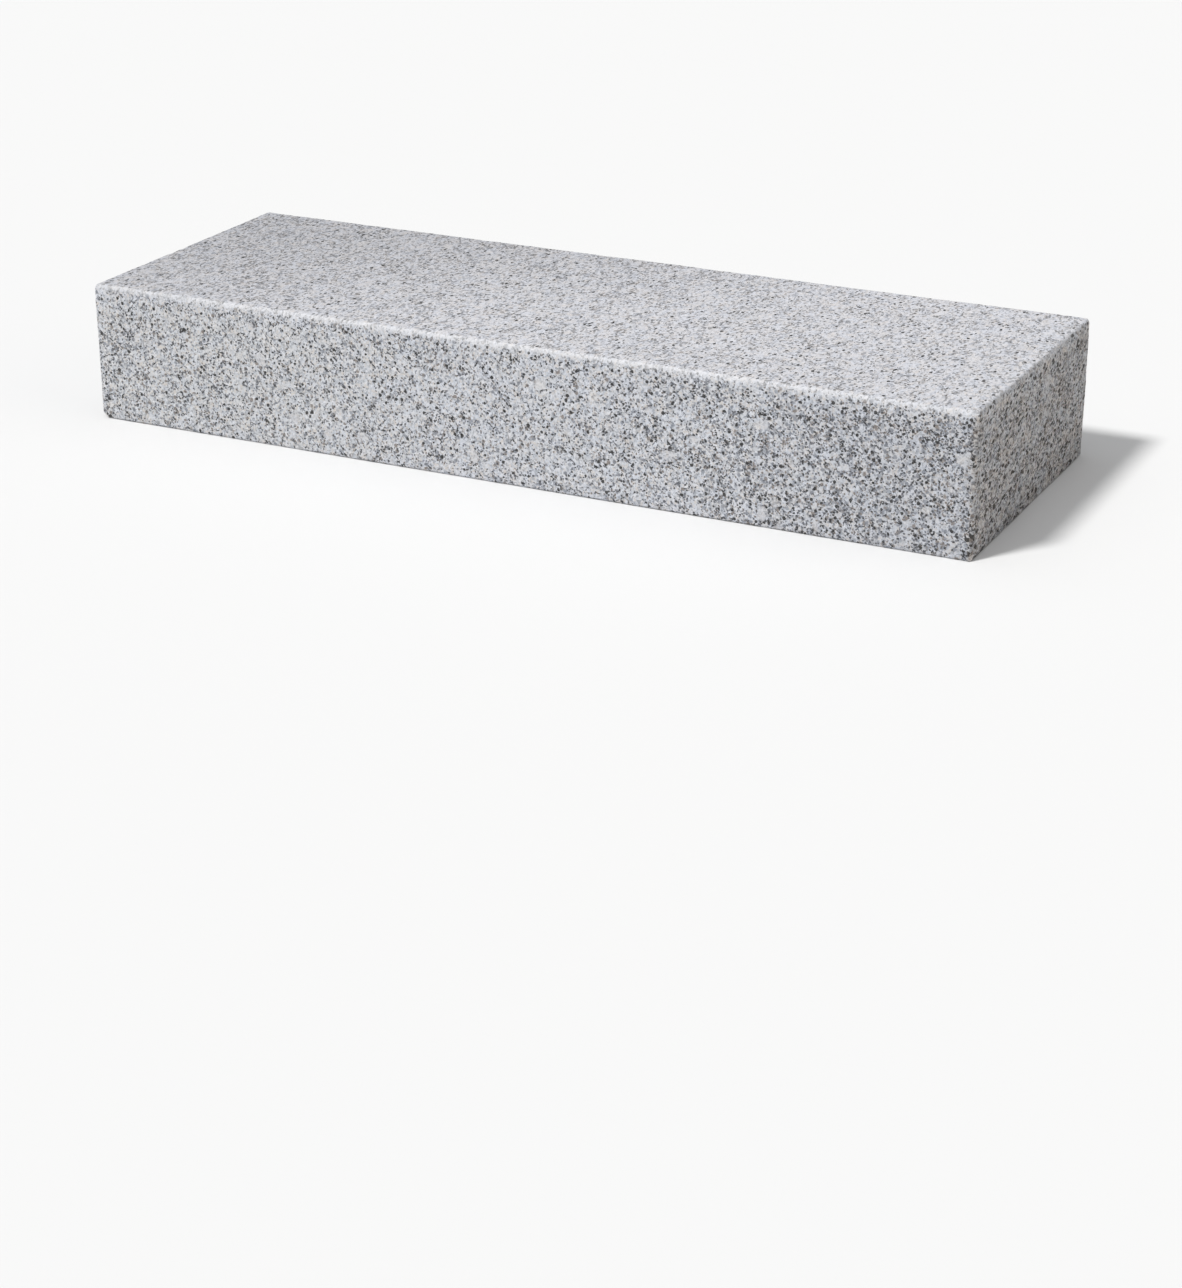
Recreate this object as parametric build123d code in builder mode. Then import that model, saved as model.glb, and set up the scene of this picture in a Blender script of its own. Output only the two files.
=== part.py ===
from build123d import *
import os

os.makedirs("parts", exist_ok=True)

# A solid granite block step, quarried and dressed as one piece.
# Frame: X runs along the step, Y through its depth with the riser facing -Y, Z up.
# Origin: centre of the bed, the face that the step lies on.

# Driving dimensions, mm
length = 1000.0       # along X, end to end
depth = 350.0         # along Y, riser to back
rise = 150.0          # along Z, bed to tread
corner_radius = 5.0   # rounding of the four upright corners
arris_radius = 4.5    # rounding of the arris round the tread
bed_bevel = 3.0       # small bevel round the bed

with BuildPart() as block_step:
    # plan outline, with the upright corners eased
    with BuildSketch(Plane.XY):
        Rectangle(length, depth)
        fillet(vertices(), radius=corner_radius)
    extrude(amount=rise)
    # the arris that the foot meets, all round the tread
    fillet(faces().sort_by(Axis.Z)[-1].edges(), radius=arris_radius)
    # the dressed edge all round the bed
    chamfer(faces().sort_by(Axis.Z)[0].edges(), length=bed_bevel)

block_step.part.label = "block_step"
export_step(block_step.part, "parts/block_step.step")
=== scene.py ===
import math
import bpy
import numpy as np
from mathutils import Matrix, Vector


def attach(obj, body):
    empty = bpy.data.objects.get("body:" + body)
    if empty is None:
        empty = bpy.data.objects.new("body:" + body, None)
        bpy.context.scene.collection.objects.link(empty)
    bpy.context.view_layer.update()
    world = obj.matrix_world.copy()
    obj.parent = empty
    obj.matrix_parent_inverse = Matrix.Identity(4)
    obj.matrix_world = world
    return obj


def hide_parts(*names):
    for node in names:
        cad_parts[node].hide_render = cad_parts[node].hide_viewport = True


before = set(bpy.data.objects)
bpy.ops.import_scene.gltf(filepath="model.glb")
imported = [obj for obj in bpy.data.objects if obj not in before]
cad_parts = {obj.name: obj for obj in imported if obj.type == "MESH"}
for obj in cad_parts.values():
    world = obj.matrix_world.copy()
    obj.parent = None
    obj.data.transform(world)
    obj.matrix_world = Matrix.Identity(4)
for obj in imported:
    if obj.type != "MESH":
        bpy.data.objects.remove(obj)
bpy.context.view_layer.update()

# ---------------------------------------------------------------------------
# The block's skin: one closed mesh on a box lattice, fine along the arrises
# and coarser inside the faces. Lengths below are in millimetres.
# ---------------------------------------------------------------------------
LX, LY, LZ = 1000.0, 350.0, 150.0
NX, NY, NZ = 504, 176, 80          # finest steps along each axis
BAND = 8                           # finest steps from an edge that stay fine
ROUND = 3.5                        # rounding of the upright corners
ROUND_TOP = 6.0                    # height of the rounding round the tread
ROUND_BED = 2.2                    # height of the rounding round the bed
SEED = 603


def lines(total, n):
    """Lattice lines along one axis: close together by the edges, even inside."""
    near = np.array([0, 1.4, 2.8, 4.2, 5.6, 7.0, 8.9, 10.8, 12.8])
    inner = np.linspace(near[-1], total - near[-1], n - 2 * BAND + 1)
    return np.concatenate([near[:-1], inner, total - near[:-1][::-1]])


AX = [lines(LX, NX), lines(LY, NY), lines(LZ, NZ)]
N = [NX, NY, NZ]


class Noise:
    """Seeded 3-D gradient noise, about -1 to 1."""

    def __init__(self, seed):
        rng = np.random.default_rng(seed)
        self.perm = np.tile(rng.permutation(512), 3)
        g = rng.normal(size=(512, 3))
        self.grad = g / np.linalg.norm(g, axis=1)[:, None]

    def __call__(self, p):
        i = np.floor(p).astype(np.int64)
        f = p - i
        u = f * f * f * (f * (f * 6 - 15) + 10)
        i &= 511
        out = 0.0
        for dx in (0, 1):
            for dy in (0, 1):
                for dz in (0, 1):
                    h = self.perm[self.perm[self.perm[i[:, 0] + dx] + i[:, 1] + dy] + i[:, 2] + dz]
                    d = f - (dx, dy, dz)
                    w = (
                        (u[:, 0] if dx else 1 - u[:, 0])
                        * (u[:, 1] if dy else 1 - u[:, 1])
                        * (u[:, 2] if dz else 1 - u[:, 2])
                    )
                    out = out + w * (self.grad[h] * d).sum(1)
        return out * 1.6


def smooth(a, b, x):
    t = np.clip((x - a) / (b - a), 0, 1)
    return t * t * (3 - 2 * t)


def skin():
    """Faces as lists of lattice indices, with each face's side of the box."""
    quads, tris, q_side, t_side = [], [], [], []
    sides = [(0, 0), (0, 1), (1, 0), (1, 1), (2, 0), (2, 1)]
    for s, (axis, far) in enumerate(sides):
        ua, va = [(1, 2), (2, 0), (0, 1)][axis]
        nu, nv = N[ua], N[va]
        bed = axis == 2 and not far
        level = np.zeros((nu, nv), int)
        if bed:
            level[4:nu - 4, 4:nv - 4] = 1
            level[BAND:nu - BAND, BAND:nv - BAND] = 2
        else:
            level[BAND:nu - BAND, BAND:nv - BAND] = 1

        def at(u, v):
            key = [0, 0, 0]
            key[axis] = N[axis] * far
            key[ua], key[va] = u, v
            return tuple(key)

        def cells(lv, u0, v0):
            step = 1 << lv
            for u in range(u0, nu, step):
                for v in range(u0, nv, step):
                    if u + step <= nu and v + step <= nv and level[u, v] == lv:
                        yield u, v, step

        def finer(u, v, lv):
            return 0 <= u < nu and 0 <= v < nv and level[u, v] < lv

        for lv, start in ((0, 0), (1, 4 if bed else BAND), (2, BAND)):
            if lv == 2 and not bed:
                continue
            for u, v, st in cells(lv, start, start):
                h = st // 2
                loop = [at(u, v)]
                if lv and finer(u, v - 1, lv):
                    loop.append(at(u + h, v))
                loop.append(at(u + st, v))
                if lv and finer(u + st, v, lv):
                    loop.append(at(u + st, v + h))
                loop.append(at(u + st, v + st))
                if lv and finer(u, v + st, lv):
                    loop.append(at(u + h, v + st))
                loop.append(at(u, v + st))
                if lv and finer(u - 1, v, lv):
                    loop.append(at(u, v + h))
                if not far:
                    loop.reverse()
                if len(loop) == 4:
                    quads.append(loop)
                    q_side.append(s)
                else:
                    mid = at(u + h, v + h)
                    for a, b in zip(loop, loop[1:] + loop[:1]):
                        tris.append([mid, a, b])
                        t_side.append(s)
    return quads, tris, q_side, t_side


quads, tris, q_side, t_side = skin()
flat = np.array(quads).reshape(-1, 3).tolist() + np.array(tris).reshape(-1, 3).tolist()
flat = np.array(flat, dtype=np.int64)
key = (flat[:, 0] * (NY + 1) + flat[:, 1]) * (NZ + 1) + flat[:, 2]
uniq, first, index = np.unique(key, return_index=True, return_inverse=True)
ijk = flat[first]
flat_pos = np.stack([AX[a][ijk[:, a]] for a in range(3)], 1)   # on the sharp box, 0..L

# distance to the nearest edge of the box, along the face
to_face = np.stack([np.minimum(flat_pos[:, a], [LX, LY, LZ][a] - flat_pos[:, a]) for a in range(3)], 1)
edge = np.sort(to_face, axis=1)[:, 1]
corner = np.sort(to_face, axis=1)[:, 2]

# rounded box
box = np.array([LX, LY, LZ])
lo_r = np.array([ROUND, ROUND, ROUND_BED])
hi_r = np.array([ROUND, ROUND, ROUND_TOP])
core = np.clip(flat_pos, lo_r, box - hi_r)
d = flat_pos - core
r = np.where(d < 0, lo_r, hi_r)
n = d / r
n /= np.linalg.norm(n, axis=1)[:, None]
pos = core + n * r
nrm = n / r
nrm /= np.linalg.norm(nrm, axis=1)[:, None]

# relief: slow waves of the dressed faces, the hammered surface, and an arris
# that has been struck and worn unevenly
n1, n2, n3, n4, n5, n6 = (Noise(SEED + k) for k in range(6))
p = flat_pos + 1000.0
wave = 0.42 * n1(p / 150) + 0.22 * n2(p / 55)
hammer = 0.16 * n3(p / 17) + 0.13 * n4(p / 8.5)
near = np.exp(-(edge / 5.0) ** 2)
worn = 0.22 * n5(p / 26) + 0.16 * n2(p / 9 + 50) + 0.11 * n4(p / 4.2 + 90)
nick = 1.6 * np.maximum(0, n6(p / 8.0) - 0.36) + 1.8 * np.maximum(0, n1(p / 20 + 31) - 0.52)
relief = wave + hammer + near * (worn - nick) - 0.25 * near
bed = flat_pos[:, 2] < 0.01
relief = np.where(bed, np.minimum(0.10 * hammer - 0.05, 0.0), relief)
fade = smooth(0, 6, flat_pos[:, 2])
relief = np.where(bed, relief, relief * fade + (1 - fade) * np.minimum(relief, 0.0))
pos = pos + nrm * relief[:, None]


def chip(pos, at, out, depth):
    """Flattens what stands past a plane through the point: a flake struck off an edge."""
    out = np.array(out, float)
    out /= np.linalg.norm(out)
    over = (pos - np.array(at, float)) @ out + depth
    return pos - np.where(over > 0, over, 0)[:, None] * out


# the riser's lower left corner and a few flakes along the edges
pos = chip(pos, (0, 0, 0), (-1.0, -0.35, -0.9), 5.6)
pos = chip(pos, (1000, 350, 0), (1.0, 0.5, -0.8), 2.8)
pos = chip(pos, (0, 350, 150), (-0.9, 0.8, 0.9), 4.6)
pos = chip(pos, (1000, 0, 150), (0.8, -0.8, 0.9), 5.4)
pos[:, 2] = np.maximum(pos[:, 2], 0.0)

verts = (pos - (LX / 2, LY / 2, 0)) / 1000.0

mesh = bpy.data.meshes.new("block_skin")
nq, nt = len(quads), len(tris)
loops = nq * 4 + nt * 3
mesh.vertices.add(len(verts))
mesh.vertices.foreach_set("co", verts.ravel())
mesh.loops.add(loops)
mesh.loops.foreach_set("vertex_index", index.ravel())
mesh.polygons.add(nq + nt)
start = np.concatenate([np.arange(nq) * 4, nq * 4 + np.arange(nt) * 3])
mesh.polygons.foreach_set("loop_start", start)
mesh.polygons.foreach_set("use_smooth", np.ones(nq + nt, bool))
mesh.update(calc_edges=True)
mesh.validate()

# the worn arris, for the material
att = mesh.attributes.new("arris", "FLOAT", "POINT")
nose = np.hypot(flat_pos[:, 1], LZ - flat_pos[:, 2])          # from the front arris
nose_r = np.hypot(LX - flat_pos[:, 0], LZ - flat_pos[:, 2])   # from the right arris
bruise = (1 - 0.30 * smooth(690, 860, flat_pos[:, 0])) * np.exp(-(nose / 4.8) ** 2) + 0.34 * np.exp(-(nose_r / 4.4) ** 2)
att.data.foreach_set("value", np.minimum(bruise, 1.0).astype(np.float32))

# unwrapped face by face, so that the visible faces share one scale
PITCH = 1010.0
ATLAS = {  # side: (corner u, corner v, turn, scale)
    5: (5, 5, 0, 1.0),          # tread
    2: (5, 361, 0, 1.0),        # riser
    3: (5, 517, 0, 1.0),        # back
    0: (5, 673, 1, 0.93),       # left end
    1: (151, 673, 1, 0.93),     # right end
    4: (297, 673, 0, 0.7),      # bed
}
side = np.concatenate([np.repeat(q_side, 4), np.repeat(t_side, 3)])
lp = flat_pos[index.ravel()]
uv = np.zeros((loops, 2))
for s, (u0, v0, turn, k) in ATLAS.items():
    m = side == s
    a = {0: (2, 1), 1: (2, 1), 2: (0, 2), 3: (0, 2), 4: (0, 1), 5: (0, 1)}[s]
    w = lp[m][:, a] * k
    uv[m] = (w + (u0, v0)) / PITCH
layer = mesh.uv_layers.new(name="OFBake")
layer.data.foreach_set("uv", uv.ravel())

block = bpy.data.objects.new("granite_block", mesh)
bpy.context.collection.objects.link(block)
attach(block, "root")
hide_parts("block_step")


# ---------------------------------------------------------------------------
# Granite: feldspar, quartz and mica grains in space, so that every face is cut
# from the same stone
# ---------------------------------------------------------------------------
class Net:
    def __init__(self, tree):
        self.tree = tree

    def new(self, kind, **props):
        node = self.tree.nodes.new(kind)
        for k, v in props.items():
            setattr(node, k, v)
        return node

    def put(self, socket, value):
        if isinstance(value, bpy.types.NodeSocket):
            self.tree.links.new(value, socket)
        elif value is not None:
            socket.default_value = value

    def math(self, op, a, b=None, c=None, clamp=False):
        m = self.new("ShaderNodeMath", operation=op, use_clamp=clamp)
        for s, v in zip(m.inputs, (a, b, c)):
            self.put(s, v)
        return m.outputs[0]

    def vec(self, op, a, b=None, scale=None):
        m = self.new("ShaderNodeVectorMath", operation=op)
        self.put(m.inputs[0], a)
        if b is not None:
            self.put(m.inputs[1], b)
        if scale is not None:
            self.put(m.inputs["Scale"], scale)
        return m.outputs["Vector"]

    def turn(self, v):
        m = self.new("ShaderNodeVectorRotate", rotation_type="EULER_XYZ")
        self.put(m.inputs["Vector"], v)
        m.inputs["Rotation"].default_value = (0.61, 0.43, 0.87)
        return m.outputs[0]

    def noise(self, v, size, detail=2.0, rough=0.5, colour=False):
        m = self.new("ShaderNodeTexNoise", noise_dimensions="3D")
        self.put(m.inputs["Vector"], v)
        m.inputs["Scale"].default_value = 1.0 / size
        m.inputs["Detail"].default_value = detail
        m.inputs["Roughness"].default_value = rough
        return m.outputs["Color" if colour else "Fac"]

    def cells(self, v, size, feature="F1", random=1.0):
        m = self.new("ShaderNodeTexVoronoi", voronoi_dimensions="3D", feature=feature)
        self.put(m.inputs["Vector"], v)
        m.inputs["Scale"].default_value = 1.0 / size
        m.inputs["Randomness"].default_value = random
        out = m.outputs["Distance"]
        if feature == "DISTANCE_TO_EDGE":
            return out
        split = self.new("ShaderNodeSeparateColor")
        self.tree.links.new(m.outputs["Color"], split.inputs[0])
        return out, split.outputs[0], split.outputs[1], split.outputs[2]

    def step(self, a, b, x):
        m = self.new("ShaderNodeMapRange", interpolation_type="SMOOTHSTEP")
        self.put(m.inputs["Value"], x)
        self.put(m.inputs["From Min"], a)
        self.put(m.inputs["From Max"], b)
        return m.outputs[0]

    def mix(self, f, a, b):
        m = self.new("ShaderNodeMix", data_type="RGBA")
        self.put(m.inputs[0], f)
        self.put(m.inputs[6], a)
        self.put(m.inputs[7], b)
        return m.outputs[2]

    def mixf(self, f, a, b):
        m = self.new("ShaderNodeMix", data_type="FLOAT")
        self.put(m.inputs[0], f)
        self.put(m.inputs[2], a)
        self.put(m.inputs[3], b)
        return m.outputs[0]


def rgb(r, g, b):
    """An sRGB colour out of 255 as linear."""
    f = lambda c: c / 255 / 12.92 if c / 255 <= 0.04045 else ((c / 255 + 0.055) / 1.055) ** 2.4
    return (f(r), f(g), f(b), 1.0)


def granite():
    mat = bpy.data.materials.new("granite")
    mat.use_nodes = True
    tree = mat.node_tree
    tree.nodes.clear()
    g = Net(tree)
    out = g.new("ShaderNodeOutputMaterial")
    bsdf = g.new("ShaderNodeBsdfPrincipled")
    tree.links.new(bsdf.outputs[0], out.inputs["Surface"])
    coord = g.new("ShaderNodeTexCoord").outputs["Object"]
    P = g.vec("SCALE", coord, scale=1000.0)          # millimetres
    split = g.new("ShaderNodeSeparateXYZ")
    tree.links.new(P, split.inputs[0])
    X, Y, Z = split.outputs
    # the grains are drawn out along Y, the stone's rift, and lie askew to every face
    G = g.turn(g.vec("MULTIPLY", P, (1.0, 0.62, 1.0)))
    B = g.turn(g.vec("MULTIPLY", P, (1.0, 0.56, 1.0)))
    w0 = g.vec("SUBTRACT", g.noise(G, 2.2, 1.0, colour=True), (0.5, 0.5, 0.5))
    w1 = g.vec("SUBTRACT", g.noise(G, 14.0, 1.0, colour=True), (0.5, 0.5, 0.5))
    P1 = g.vec("ADD", G, g.vec("SCALE", w0, scale=1.7))
    P2 = g.vec("ADD", P1, g.vec("SCALE", w1, scale=14.0))

    # darker towards the riser's right end, and painted shade towards the tread's back left, where less light falls
    low = g.step(146.0, 128.0, Z)
    zone = g.math("MULTIPLY", g.step(20.0, 400.0, X), low)
    dull = g.math("MULTIPLY", g.step(200.0, 470.0, X), low)
    painted_shade_back_left = g.step(200.0, -620.0, g.math("SUBTRACT", X, g.math("MULTIPLY", Y, 1.3)))
    tread = g.step(143.0, 149.0, Z)
    end = g.math("MULTIPLY", g.step(493.0, 498.0, X), g.step(149.6, 146.0, Z))
    # beside the riser's right edge, where black grains stand in for the shade of small chipped pits
    chip_shade_by_edge = g.math("MULTIPLY", g.step(482.0, 496.0, X), g.step(-158.0, -172.0, Y))

    # a few large pale crystals, nearly clear of dark grains inside
    dist, r0, r1, r2 = g.cells(P2, 15.0)
    size = g.math("MULTIPLY_ADD", r1, 0.24, 0.22)
    chosen = g.math("LESS_THAN", r0, 0.11)
    inside = g.math("MULTIPLY", g.step(g.math("ADD", size, 0.10), g.math("SUBTRACT", size, 0.08), dist), chosen)
    rim = g.math("MULTIPLY", g.math("MULTIPLY", g.step(size, g.math("ADD", size, 0.06), dist),
                                    g.step(g.math("ADD", size, 0.24), g.math("ADD", size, 0.14), dist)), chosen)
    clear = g.math("SUBTRACT", 1.0, g.math("MULTIPLY", inside, 0.70))

    # feldspar grains, each its own tone
    _, t, u, v = g.cells(P1, 2.4)
    fine = g.noise(G, 1.2, 2.0, 0.6)
    soft = g.noise(P1, 3.0, 2.0, 0.6)

    # the darker grains gather in the seams between the larger feldspars
    gap = g.cells(g.vec("ADD", P1, (17.0, 43.0, 67.0)), 6.5, feature="DISTANCE_TO_EDGE")
    seam = g.math("SUBTRACT", g.step(0.17, 0.03, gap), 0.40)

    # quartz: soft grey blotches between the feldspar
    drift = g.noise(G, 24.0, 1.0)
    clump = g.noise(G, 9.0, 2.0)
    more = g.math("MULTIPLY_ADD", g.math("SUBTRACT", g.step(0.42, 0.72, clump), 0.28), 0.42, g.math("MULTIPLY", g.math("SUBTRACT", drift, 0.5), 0.55))
    more = g.math("MULTIPLY_ADD", seam, 0.20, more)
    more = g.math("MULTIPLY_ADD", zone, 0.25, more)
    # more dark grains towards the back left: part of the painted shade there
    more = g.math("MULTIPLY_ADD", painted_shade_back_left, 0.08, more)
    qd, q0, q1, q2 = g.cells(g.vec("ADD", P1, (5.0, 71.0, 23.0)), 4.6)
    quartz = g.math("MULTIPLY", g.math("LESS_THAN", q0, g.math("ADD", more, 0.24)), g.step(0.60, 0.34, qd))
    quartz = g.math("MULTIPLY", quartz, clear)

    # small grey-brown grains
    fd, f0, f1, f2 = g.cells(g.vec("ADD", P1, (91.0, 3.0, 57.0)), 2.5)
    pf = g.math("MULTIPLY_ADD", rim, 0.3, g.math("MULTIPLY_ADD", more, 0.9, 0.265))
    pf = g.math("MULTIPLY_ADD", end, -0.06, pf)
    fleck = g.math("MULTIPLY", g.math("LESS_THAN", f0, pf), g.step(0.60, 0.40, fd))
    fleck = g.math("MULTIPLY", fleck, clear)

    # mica: small, nearly black
    md, b, c, e = g.cells(g.vec("ADD", P1, (37.3, 11.9, 5.1)), 2.4)
    pb = g.math("MULTIPLY_ADD", rim, 0.30, g.math("MULTIPLY_ADD", more, 0.50, 0.185))
    pb = g.math("MULTIPLY_ADD", end, -0.05, pb)
    pb = g.math("MULTIPLY_ADD", seam, 0.28, pb)
    big = g.math("LESS_THAN", c, 0.22)
    mr = g.math("MULTIPLY_ADD", big, 0.14, g.math("MULTIPLY_ADD", e, 0.16, 0.42))
    mica = g.math("MULTIPLY", g.math("LESS_THAN", b, pb), g.step(g.math("ADD", mr, 0.04), g.math("SUBTRACT", mr, 0.05), md))
    mica = g.math("MULTIPLY", mica, clear)

    # fewer, larger black grains, which show most on the rough right end, where there are more and larger ones that also
    # paint in the shade of its pits
    bd, b0, b1, b2 = g.cells(g.vec("ADD", B, g.vec("SCALE", w0, scale=1.6)), 4.6)
    group = g.step(0.36, 0.66, g.noise(g.vec("ADD", B, (3.0, 61.0, 29.0)), 16.0, 1.0))
    front = g.step(80.0, -150.0, Y)
    often = g.math("MULTIPLY_ADD", front, 0.07, g.math("MULTIPLY_ADD", group, 0.44, 0.04))
    often = g.math("MULTIPLY_ADD", end, often, g.math("MULTIPLY_ADD", tread, 0.02, g.math("MULTIPLY_ADD", zone, 0.04, 0.075)))
    often = g.math("MULTIPLY_ADD", g.step(-420.0, 60.0, X), 0.045, often)
    # more black grains beside the riser's right edge: painted shade of chipped pits
    often = g.math("MULTIPLY_ADD", chip_shade_by_edge, 0.14, often)
    br = g.math("MULTIPLY_ADD", b1, 0.18, g.math("MULTIPLY_ADD", tread, -0.07, g.math("MULTIPLY_ADD", end, 0.04, 0.28)))
    black = g.math("MULTIPLY", g.math("LESS_THAN", b0, often), g.step(g.math("ADD", br, 0.015), g.math("SUBTRACT", br, 0.015), bd))
    black = g.math("MULTIPLY", black, clear)

    # colours
    feld = g.mix(t, rgb(197, 200, 207), rgb(224, 225, 231))
    feld = g.mix(g.math("LESS_THAN", u, 0.20), feld, rgb(210, 206, 205))
    feld = g.mix(g.step(0.50, 0.34, soft), feld, rgb(168, 171, 178))
    feld = g.mix(g.math("MULTIPLY", dull, 0.27), feld, rgb(172, 174, 181))
    grey = g.mix(q1, rgb(118, 122, 131), rgb(162, 166, 175))
    grey = g.mix(g.math("LESS_THAN", q2, 0.28), grey, rgb(137, 130, 127))
    small = g.mix(f1, rgb(108, 111, 119), rgb(162, 165, 174))
    small = g.mix(g.math("LESS_THAN", f2, 0.27), small, rgb(127, 119, 114))
    dark = g.mix(g.step(0.15, 1.0, c), rgb(20, 21, 25), rgb(92, 94, 102))
    pale = g.mix(r2, rgb(208, 207, 211), rgb(222, 220, 221))
    col = g.mix(quartz, feld, grey)
    col = g.mix(g.math("MULTIPLY", inside, 0.48), col, pale)
    col = g.mix(fleck, col, small)
    # the hammer's points leave the tread whiter than the sides
    col = g.mix(g.math("MULTIPLY", tread, 0.30), col, rgb(214, 216, 221))
    col = g.mix(mica, col, g.mix(g.math("MULTIPLY", tread, 0.28), dark, rgb(200, 200, 200)))
    # the rough right end shows its grain less, and its black crystals more; their extra number there is partly painted
    # shade of its pits
    col = g.mix(g.math("MULTIPLY", end, 0.04), col, rgb(158, 156, 156))
    col = g.mix(g.math("MULTIPLY", black, 0.98), col, rgb(6, 5, 5))
    speck = g.math("MULTIPLY_ADD", fine, 2.2, -0.6, clamp=True)
    col = g.mix(speck, g.mix(0.11, col, (0, 0, 0, 1)), g.mix(0.10, col, (1, 1, 1, 1)))
    # painted shade: the tread darkens towards its back left, where less light falls
    col = g.mix(g.math("MULTIPLY", g.math("MULTIPLY", tread, painted_shade_back_left), 0.21), col, (0, 0, 0, 1))
    col = g.vec("MULTIPLY", col, g.mix(tread, (1, 1, 1, 1), (0.957, 0.942, 0.940, 1)))

    # warmer and cooler patches
    hue = g.step(0.36, 0.64, g.noise(g.vec("ADD", G, (29.0, 83.0, 5.0)), 9.0, 2.0))
    col = g.vec("MULTIPLY", col, g.mix(hue, (1.010, 1.0, 0.982, 1), (0.982, 1.0, 1.022, 1)))

    # the riser is a little warmer at its left
    warm = g.math("MULTIPLY", g.step(0.0, -300.0, X), low)
    col = g.vec("MULTIPLY", col, g.mix(warm, (1, 1, 1, 1), (1.000, 0.994, 0.975, 1)))

    # painted shade beside the riser's right edge, where the corner turns from the light
    edge = g.math("MULTIPLY", g.math("MULTIPLY", g.step(482.0, 496.0, X), g.step(499.4, 498.0, X)), g.step(148.0, 140.0, Z))
    col = g.mix(g.math("MULTIPLY", edge, 0.10), col, rgb(60, 54, 50))

    # bruised, cleaner stone on the worn front arris
    arris = g.new("ShaderNodeAttribute", attribute_name="arris").outputs["Fac"]
    col = g.mix(g.math("MULTIPLY", arris, 0.46), col, rgb(224, 225, 228))
    # on the right end: painted shade in its pits, and painted warm light over the face below its arris, both stronger
    # in patches
    end_patches = g.step(0.42, 0.60, g.noise(g.vec("ADD", G, (71.0, 7.0, 19.0)), 20.0, 2.0))
    pit = g.step(0.54, 0.38, g.noise(g.vec("ADD", P, (13.0, 7.0, 91.0)), 3.6, 2.0, 0.6))
    painted_pit_shade = g.math("MULTIPLY", g.math("MULTIPLY", end, pit), g.math("MULTIPLY_ADD", end_patches, 0.18, 0.20))
    # painted shade: the end's pits darkened towards brown
    col = g.mix(painted_pit_shade, col, rgb(84, 63, 42))
    # painted warm light: the end below its arris is made warmer and a little lighter
    painted_warm_light = g.mix(end_patches, (1.051, 1.033, 0.998, 1), (1.085, 1.033, 0.964, 1))
    below = g.math("MULTIPLY", end, g.step(149.0, 138.0, Z))
    col = g.vec("MULTIPLY", col, g.mix(below, (1, 1, 1, 1), painted_warm_light))

    tree.links.new(col, bsdf.inputs["Base Color"])
    rough = g.mixf(mica, g.mixf(quartz, 0.86, 0.62), 0.48)
    tree.links.new(rough, bsdf.inputs["Roughness"])
    bsdf.inputs["Specular IOR Level"].default_value = 0.35

    # hammered texture
    h = g.math("MULTIPLY", g.noise(P, 4.0, 2.0, 0.6), 1.0)
    h = g.math("MULTIPLY_ADD", fine, 0.25, h)
    h = g.math("MULTIPLY_ADD", t, 0.14, h)
    h = g.math("MULTIPLY_ADD", mica, -0.18, h)
    bump = g.new("ShaderNodeBump")
    bump.inputs["Strength"].default_value = 1.0
    g.put(bump.inputs["Distance"], g.mixf(end, 0.0009, 0.0018))
    tree.links.new(h, bump.inputs["Height"])
    tree.links.new(bump.outputs[0], bsdf.inputs["Normal"])
    return mat


block.data.materials.append(granite())

# ---------------------------------------------------------------------------
# Studio
# ---------------------------------------------------------------------------
floor_mesh = bpy.data.meshes.new("floor")
R = 60.0
floor_mesh.from_pydata([(-R, -R, 0), (R, -R, 0), (R, R, 0), (-R, R, 0)], [], [(0, 1, 2, 3)])
floor = bpy.data.objects.new("floor", floor_mesh)
bpy.context.collection.objects.link(floor)
floor_mat = bpy.data.materials.new("floor")
floor_mat.use_nodes = True
floor_bsdf = floor_mat.node_tree.nodes["Principled BSDF"]
floor_bsdf.inputs["Base Color"].default_value = (0.775, 0.775, 0.775, 1)
floor_bsdf.inputs["Roughness"].default_value = 1.0
floor_bsdf.inputs["Specular IOR Level"].default_value = 0.0
floor.data.materials.append(floor_mat)

KEY = 0.73
sun = bpy.data.lights.new("key", "SUN")
sun.energy = KEY * 1.19 * math.pi
sun.angle = math.radians(10)
sun.color = (1.0, 0.995, 0.985)
sun_obj = bpy.data.objects.new("key", sun)
bpy.context.collection.objects.link(sun_obj)
elev, azim = math.radians(55), math.radians(57)
to_light = (-math.cos(azim) * math.cos(elev), -math.sin(azim) * math.cos(elev), math.sin(elev))
sun_obj.rotation_mode = "QUATERNION"
sun_obj.rotation_quaternion = Vector(to_light).to_track_quat("Z", "Y")

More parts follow.
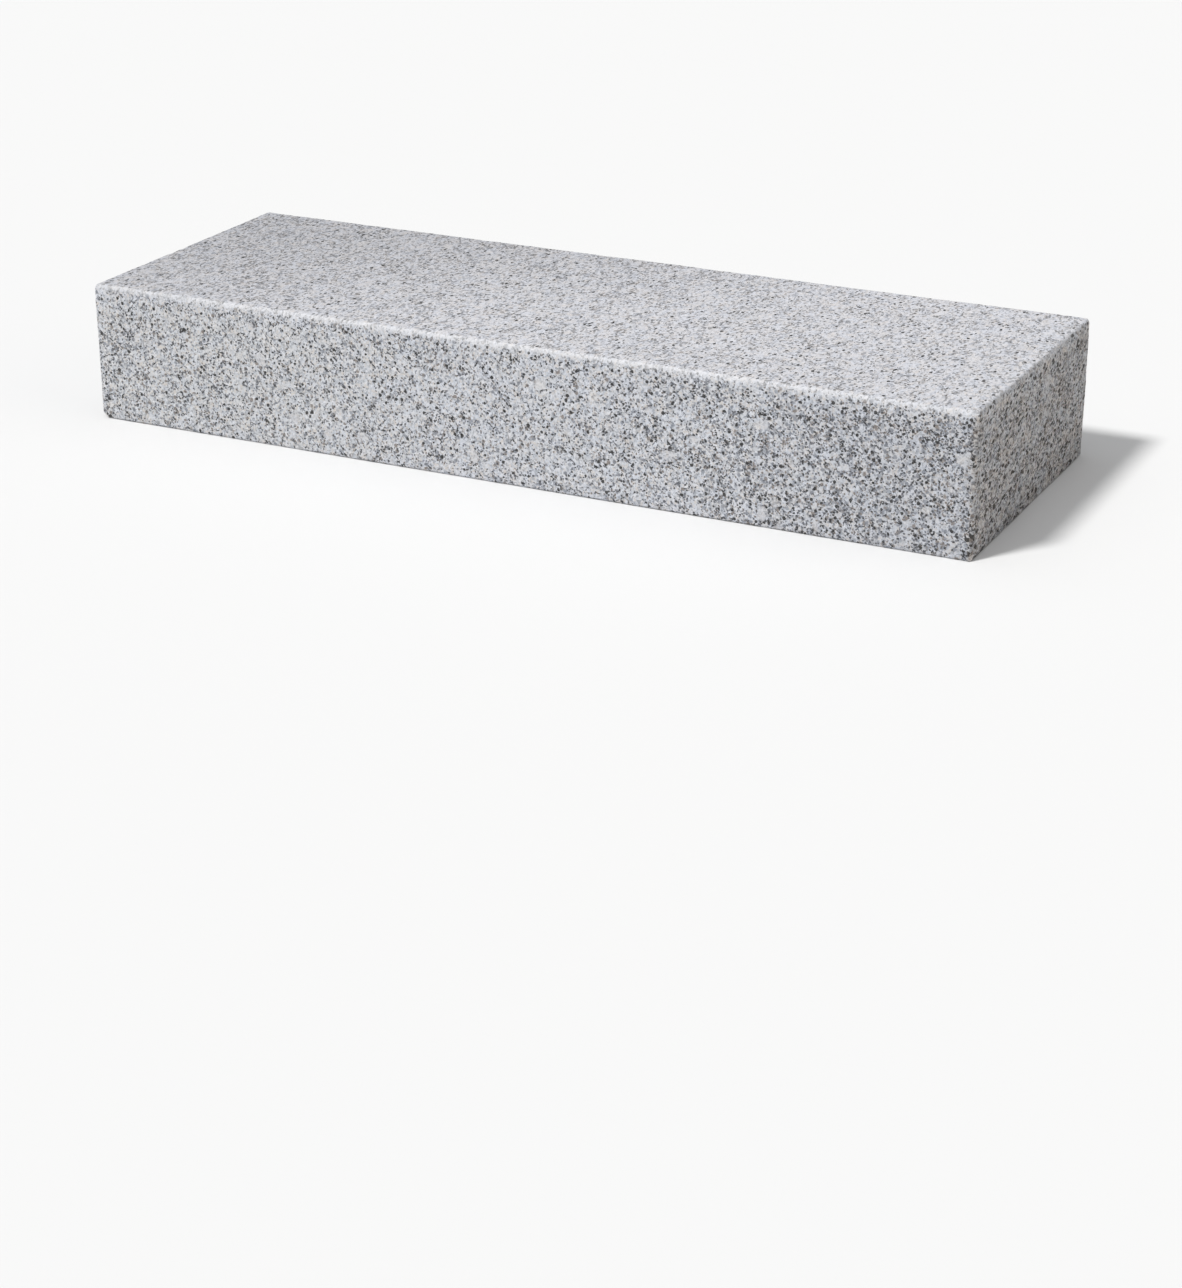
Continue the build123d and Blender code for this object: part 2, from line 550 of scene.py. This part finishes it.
world = bpy.data.worlds.new("studio")
bpy.context.scene.world = world
world.use_nodes = True
wt = world.node_tree
wt.nodes.clear()
w = Net(wt)
wout = w.new("ShaderNodeOutputWorld")
lift = w.new("ShaderNodeBackground")
seen = w.new("ShaderNodeBackground")
wmix = w.new("ShaderNodeMixShader")
path = w.new("ShaderNodeLightPath")
sep = w.new("ShaderNodeSeparateXYZ")
wt.links.new(w.new("ShaderNodeTexCoord").outputs["Generated"], sep.inputs[0])
z = w.math("MAXIMUM", sep.outputs[2], 0.0)
z2 = w.math("POWER", z, 2.0)
SKY = 0.40
wt.links.new(w.math("MULTIPLY", z2, SKY * 1.19 * 2.0), lift.inputs["Strength"])
lift.inputs["Color"].default_value = (0.97, 0.985, 1.0, 1)
seen.inputs["Color"].default_value = (0.95, 0.95, 0.95, 1)
seen.inputs["Strength"].default_value = 1.0
wt.links.new(path.outputs["Is Camera Ray"], wmix.inputs[0])
wt.links.new(lift.outputs[0], wmix.inputs[1])
wt.links.new(seen.outputs[0], wmix.inputs[2])
wt.links.new(wmix.outputs[0], wout.inputs["Surface"])

FILL = 0.11
fill = bpy.data.lights.new("fill", "SUN")
fill.energy = FILL * 1.19 * math.pi
fill.angle = math.radians(60)
fill.color = (1.0, 0.94, 0.87)
fill_obj = bpy.data.objects.new("fill", fill)
bpy.context.collection.objects.link(fill_obj)
fill_obj.rotation_mode = "QUATERNION"
fill_obj.rotation_quaternion = Vector((0.93, 0.10, 0.36)).to_track_quat("Z", "Y")

# camera, from the block's edges in the photograph
cam = bpy.data.cameras.new("camera")
cam.sensor_fit = "AUTO"
cam.sensor_width = 36.0
cam.lens = 2882.094 / 1288 * 36.0
cam.clip_start, cam.clip_end = 0.05, 300
cam_obj = bpy.data.objects.new("camera", cam)
bpy.context.collection.objects.link(cam_obj)
pitch, yaw, roll = 0.39778, -0.45751, -0.00025
fwd = Vector((math.sin(yaw) * math.cos(pitch), math.cos(yaw) * math.cos(pitch), -math.sin(pitch)))
right = Vector((math.cos(yaw), -math.sin(yaw), 0))
up = right.cross(fwd)
right, up = math.cos(roll) * right + math.sin(roll) * up, math.cos(roll) * up - math.sin(roll) * right
m = Matrix((right, up, -fwd)).transposed().to_4x4()
m.translation = Vector((1.307477, -2.635828, 0.993483))
cam_obj.matrix_world = m
bpy.context.scene.camera = cam_obj
# the stone's fine grain is kept crisp
bpy.context.scene.cycles.denoising_prefilter = "NONE"

view = bpy.context.scene.view_settings
view.view_transform = "Standard"
view.look = "None"
view.exposure = 0.0
view.gamma = 1.0

bpy.context.view_layer.update()
